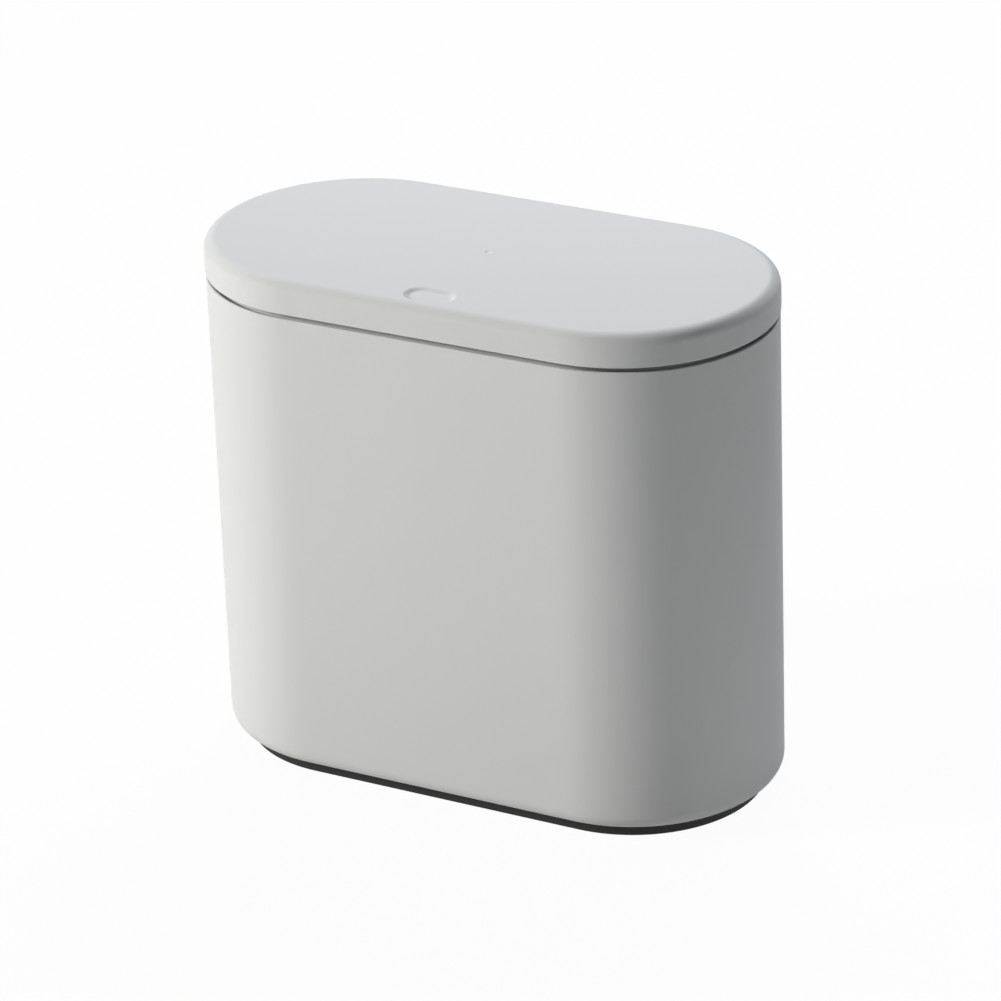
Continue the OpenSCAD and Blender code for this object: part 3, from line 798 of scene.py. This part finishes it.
class BIN_OT_body_shell(bpy.types.Operator):
    """Makes the outer body with its round foot, seat for the frame and screw bosses."""

    bl_idname = "bin.body_shell"
    bl_label = "Body Shell"

    def execute(self, context):
        size = context.scene.bin_body
        radius = (BODY_HIGH.y - BODY_LOW.y) / 2.0
        run = BODY_HIGH.x - radius
        low, high = BODY_LOW.z, BODY_HIGH.z
        inner = radius - size.wall
        seat = high - size.rebate_height
        rebate = inner + size.rebate_depth
        corners = [
            (0.0, low, 0.0),
            (radius, low, size.foot_round),
            (radius, high, RIM_ROUND),
            (rebate, high, INNER_ROUND),
            (rebate, seat, 0.15 * MM),
            (inner, seat, 0.2 * MM),
            (inner, low + size.floor, size.foot_round - size.wall),
            (0.0, low + size.floor, 0.0),
        ]
        columns = oval_columns(run, spaced(-run, run, SHELL_STEP))
        bm = sweep_oval(columns, fillets(corners))
        body = make_object("body_shell", bm, finish_for("body_plastic"))
        top = low + size.boss_height
        root = low + size.floor / 2.0
        post = [
            (0.0, root, 0.0),
            (size.boss_radius, root, 0.0),
            (size.boss_radius, top, 0.3 * MM),
            (0.0, top, 0.0),
        ]
        start, end = low - 1.0 * MM, top - size.boss_roof
        drill = [(0.0, start), (size.screw_hole, start), (size.screw_hole, end), (0.0, end)]
        bosses, holes = bmesh.new(), bmesh.new()
        for x in (-size.boss_spread / 2.0, size.boss_spread / 2.0):
            for y in (-size.boss_gauge / 2.0, size.boss_gauge / 2.0):
                turned(bosses, (x, y), fillets(post))
                turned(holes, (x, y), drill)
        carve(body, bosses, "UNION")
        carve(body, holes, "DIFFERENCE")
        settle(body, "base", "body_plastic", "outer_body")
        return {"FINISHED"}


class BIN_OT_bucket_set(bpy.types.Operator):
    """Makes the lift-out bucket and the bag ring over its rim."""

    bl_idname = "bin.bucket_set"
    bl_label = "Bucket and Ring"

    def execute(self, context):
        size = context.scene.bin_bucket
        radius = (BUCKET_HIGH.y - BUCKET_LOW.y) / 2.0
        run = BUCKET_HIGH.x - radius
        low, high = BUCKET_LOW.z, BUCKET_HIGH.z
        inner = radius - size.wall
        corners = [
            (0.0, low, 0.0),
            (radius, low, size.foot_round),
            (radius, high, BUCKET_ROUND),
            (inner, high, BUCKET_ROUND),
            (inner, low + size.floor, size.foot_round - size.wall),
            (0.0, low + size.floor, 0.0),
        ]
        columns = oval_columns(run, spaced(-run, run, SHELL_STEP))
        bm = sweep_oval(columns, fillets(corners))
        bucket = make_object("bucket_shell", bm, finish_for("bucket_plastic"))
        settle(bucket, "base", "bucket_plastic", "inner_bucket")
        outer = (RING_HIGH.y - RING_LOW.y) / 2.0
        within = outer - size.ring_skirt
        lip = inner - size.ring_lip
        top, under = RING_HIGH.z, RING_HIGH.z - size.ring_flange
        corners = [
            (lip, top, RIM_ROUND),
            (outer, top, 0.5 * MM),
            (outer, RING_LOW.z, INNER_ROUND),
            (within, RING_LOW.z, INNER_ROUND),
            (within, under, 0.0),
            (lip, under, RIM_ROUND),
        ]
        bm = sweep_oval(columns, fillets(corners, closed=True), closed=True)
        ring = make_object("ring_shell", bm, finish_for("ring_plastic"))
        settle(ring, "base", "ring_plastic", "bag_ring")
        return {"FINISHED"}


class BIN_OT_springs(bpy.types.Operator):
    """Makes the two torsion springs on the hinge rod and the spring of the latch."""

    bl_idname = "bin.springs"
    bl_label = "Springs"

    def execute(self, context):
        size = context.scene.bin_springs
        quarter = math.radians(90.0)
        stand = Matrix.Rotation(quarter, 4, "Z") @ Matrix.Rotation(quarter, 4, "X")
        for node in ("torsion_spring_left", "torsion_spring_right"):
            low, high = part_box(node)
            wire = size.torsion_wire
            height = high.x - low.x - 2.0 * wire
            points = coil_points(size.torsion_coil, size.torsion_turns, height, size.torsion_leg)
            bm = wire_tube(points, wire)
            bm.transform(Matrix.Translation((low.x + wire, AXIS_Y, AXIS_Z)) @ stand)
            spring = make_object(node.replace("spring", "coil"), bm, finish_for("spring_steel"))
            settle(spring, "frame", "spring_steel", node)
        low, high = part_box("latch_spring")
        wire = size.latch_wire
        height = high.z - low.z - 2.0 * wire
        points = coil_points(size.latch_coil, size.latch_turns, height, 0.0)
        bm = wire_tube(points, wire)
        bm.transform(Matrix.Translation((0.0, (low.y + high.y) / 2.0, low.z + wire)))
        spring = make_object("latch_coil", bm, finish_for("spring_steel"))
        settle(spring, "frame", "spring_steel", "latch_spring")
        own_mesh(spring)
        return {"FINISHED"}


class BIN_OT_node_finishes(bpy.types.Operator):
    """Gives each carried-over node the detailed material of its slot."""

    bl_idname = "bin.node_finishes"
    bl_label = "Finishes"

    def execute(self, context):
        slots = {row["node"]: row["material_slot"] for row in frame["record"]["subparts"]}
        for node, made in NODES.items():
            material = finish_for(slots[node])
            for place in made.material_slots:
                place.material = material
            if not made.material_slots:
                raise RuntimeError(f"{node} has no material slot")
        return {"FINISHED"}


class BIN_OT_stage(bpy.types.Operator):
    """Makes the pale floor, the soft lights, the world and the camera."""

    bl_idname = "bin.stage"
    bl_label = "Stage"

    def execute(self, context):
        size = context.scene.bin_stage
        self.make_floor(size)
        self.make_world(size)
        warm, cool, blue = (1.0, 0.99, 0.97), (0.92, 0.97, 1.0), (0.912, 0.935, 1.0)
        # Each light: azimuth and elevation in degrees, distance and width in metres
        lights = {
            "key_light": (-51.0, 24.0, 2.6, 0.6, size.key_power, warm),
            "rear_light": (-171.0, 53.0, 1.2, 0.8, size.rear_power, blue),
            "front_light": (10.0, 10.0, 1.8, 0.6, size.front_power, cool),
            "side_light": (106.0, 8.0, 1.8, 0.6, size.side_power, cool),
        }
        for name, values in lights.items():
            self.make_light(name, *values)
        self.make_camera(size)
        bpy.context.scene.view_settings.view_transform = "Standard"
        return {"FINISHED"}

    @staticmethod
    def backdrop_rays(tree):
        """1 for the rays that show the backdrop: of the camera, gloss and glass."""
        path = add(tree, "ShaderNodeLightPath").outputs
        seen = maths(tree, "MAXIMUM", path["Is Camera Ray"], path["Is Glossy Ray"])
        return maths(tree, "MAXIMUM", seen, path["Is Transmission Ray"])

    def make_floor(self, size):
        """A round floor whose pale colour turns white for the camera and keeps the shadow."""
        material = bpy.data.materials.new("stage_floor")
        tree = empty_tree(material)
        pale = add(tree, "ShaderNodeBsdfDiffuse", {"Color": rgba(size.floor_colour)})
        white = add(tree, "ShaderNodeEmission", {"Color": WHITE, "Strength": 1.0})
        share = maths(tree, "MULTIPLY", self.backdrop_rays(tree), size.floor_white)
        shaders = {0: share, 1: pale.outputs[0], 2: white.outputs[0]}
        mixed = add(tree, "ShaderNodeMixShader", shaders)
        output = add(tree, "ShaderNodeOutputMaterial")
        tree.links.new(mixed.outputs[0], output.inputs["Surface"])
        bm = bmesh.new()
        bmesh.ops.create_circle(bm, cap_ends=True, segments=96, radius=FLOOR_RADIUS)
        mesh = mesh_from("stage_floor", bm)
        mesh.materials.append(material)
        floor = put("stage_floor", mesh)

    def make_world(self, size):
        """Plain light from all round, and white for the rays that show the backdrop."""
        world = bpy.data.worlds.new("stage_world")
        tree = empty_tree(world)
        inputs = {"Color": rgba(size.ambient_colour), "Strength": size.ambient}
        soft = add(tree, "ShaderNodeBackground", inputs)
        white = add(tree, "ShaderNodeBackground", {"Color": WHITE, "Strength": 1.0})
        path = add(tree, "ShaderNodeLightPath").outputs
        seen = maths(tree, "MAXIMUM", path["Is Camera Ray"], path["Is Transmission Ray"])
        mixed = add(tree, "ShaderNodeMixShader", {0: seen, 1: soft.outputs[0], 2: white.outputs[0]})
        output = add(tree, "ShaderNodeOutputWorld")
        tree.links.new(mixed.outputs[0], output.inputs["Surface"])
        bpy.context.scene.world = world

    @staticmethod
    def direction(azimuth, elevation):
        """From the bin toward a point at these angles, with azimuth 0 at the front."""
        level = math.cos(elevation)
        return Vector((math.sin(azimuth) * level, -math.cos(azimuth) * level, math.sin(elevation)))

    def make_light(self, name, azimuth, elevation, distance, width, power, tint):
        """A square soft light that looks at the bin's middle, its direction given in degrees."""
        toward = self.direction(math.radians(azimuth), math.radians(elevation))
        lamp = bpy.data.lights.new(name, "AREA")
        lamp.shape = "SQUARE"
        lamp.size = width
        lamp.energy = power
        lamp.color = tint
        made = put(name, lamp)
        made.location = LIGHT_AIM + toward * distance
        made.rotation_mode = "QUATERNION"
        made.rotation_quaternion = (-toward).to_track_quat("-Z", "Y")

    def make_camera(self, size):
        """The camera at the photograph's viewing angle."""
        back = self.direction(size.azimuth, size.elevation)
        right = Vector((math.cos(size.azimuth), math.sin(size.azimuth), 0.0))
        up = back.cross(right)
        right_turned = right * math.cos(size.roll) + up * math.sin(size.roll)
        up_turned = up * math.cos(size.roll) - right * math.sin(size.roll)
        data = bpy.data.cameras.new("photo_camera")
        data.sensor_width = 36.0
        data.lens = size.lens
        data.clip_start, data.clip_end = 0.01, 30.0
        camera = put("photo_camera", data)
        place = Vector((0.0, 0.0, size.aim_height)) + back * size.distance
        place += right_turned * size.aim_right + up_turned * size.aim_up
        turn = Matrix((right_turned, up_turned, back)).transposed()
        camera.matrix_world = Matrix.Translation(place) @ turn.to_4x4()
        bpy.context.scene.camera = camera


OPERATORS = (
    BIN_OT_lid_shell,
    BIN_OT_body_shell,
    BIN_OT_bucket_set,
    BIN_OT_springs,
    BIN_OT_node_finishes,
    BIN_OT_stage,
)


class BIN_PT_panel(bpy.types.Panel):
    """Lists the steps that make the bin, in order."""

    bl_label = "Push Top Bin"
    bl_idname = "BIN_PT_panel"
    bl_space_type = "VIEW_3D"
    bl_region_type = "UI"
    bl_category = "Bin"

    def draw(self, context):
        for operator in OPERATORS:
            self.layout.operator(operator.bl_idname)
        for _, name in GROUPS:
            group = getattr(context.scene, name)
            box = self.layout.box()
            for field in group.bl_rna.properties.keys():
                if field not in ("rna_type", "name"):
                    box.prop(group, field)


GROUPS = (
    (BinLid, "bin_lid"),
    (BinBody, "bin_body"),
    (BinBucket, "bin_bucket"),
    (BinSprings, "bin_springs"),
    (BinColours, "bin_colours"),
    (BinStage, "bin_stage"),
)


def register():
    """Registers the groups, the operators and the panel."""
    for group, name in GROUPS:
        bpy.utils.register_class(group)
        setattr(bpy.types.Scene, name, PointerProperty(type=group))
    for item in (*OPERATORS, BIN_PT_panel):
        bpy.utils.register_class(item)


def unregister():
    """Takes the panel, the operators and the groups away again."""
    for item in (BIN_PT_panel, *reversed(OPERATORS)):
        bpy.utils.unregister_class(item)
    for group, name in reversed(GROUPS):
        delattr(bpy.types.Scene, name)
        bpy.utils.unregister_class(group)


def main():
    """Makes every piece and the stage."""
    register()
    bpy.ops.bin.lid_shell()
    bpy.ops.bin.body_shell()
    bpy.ops.bin.bucket_set()
    bpy.ops.bin.springs()
    bpy.ops.bin.node_finishes()
    bpy.ops.bin.stage()


if __name__ == "__main__":
    main()
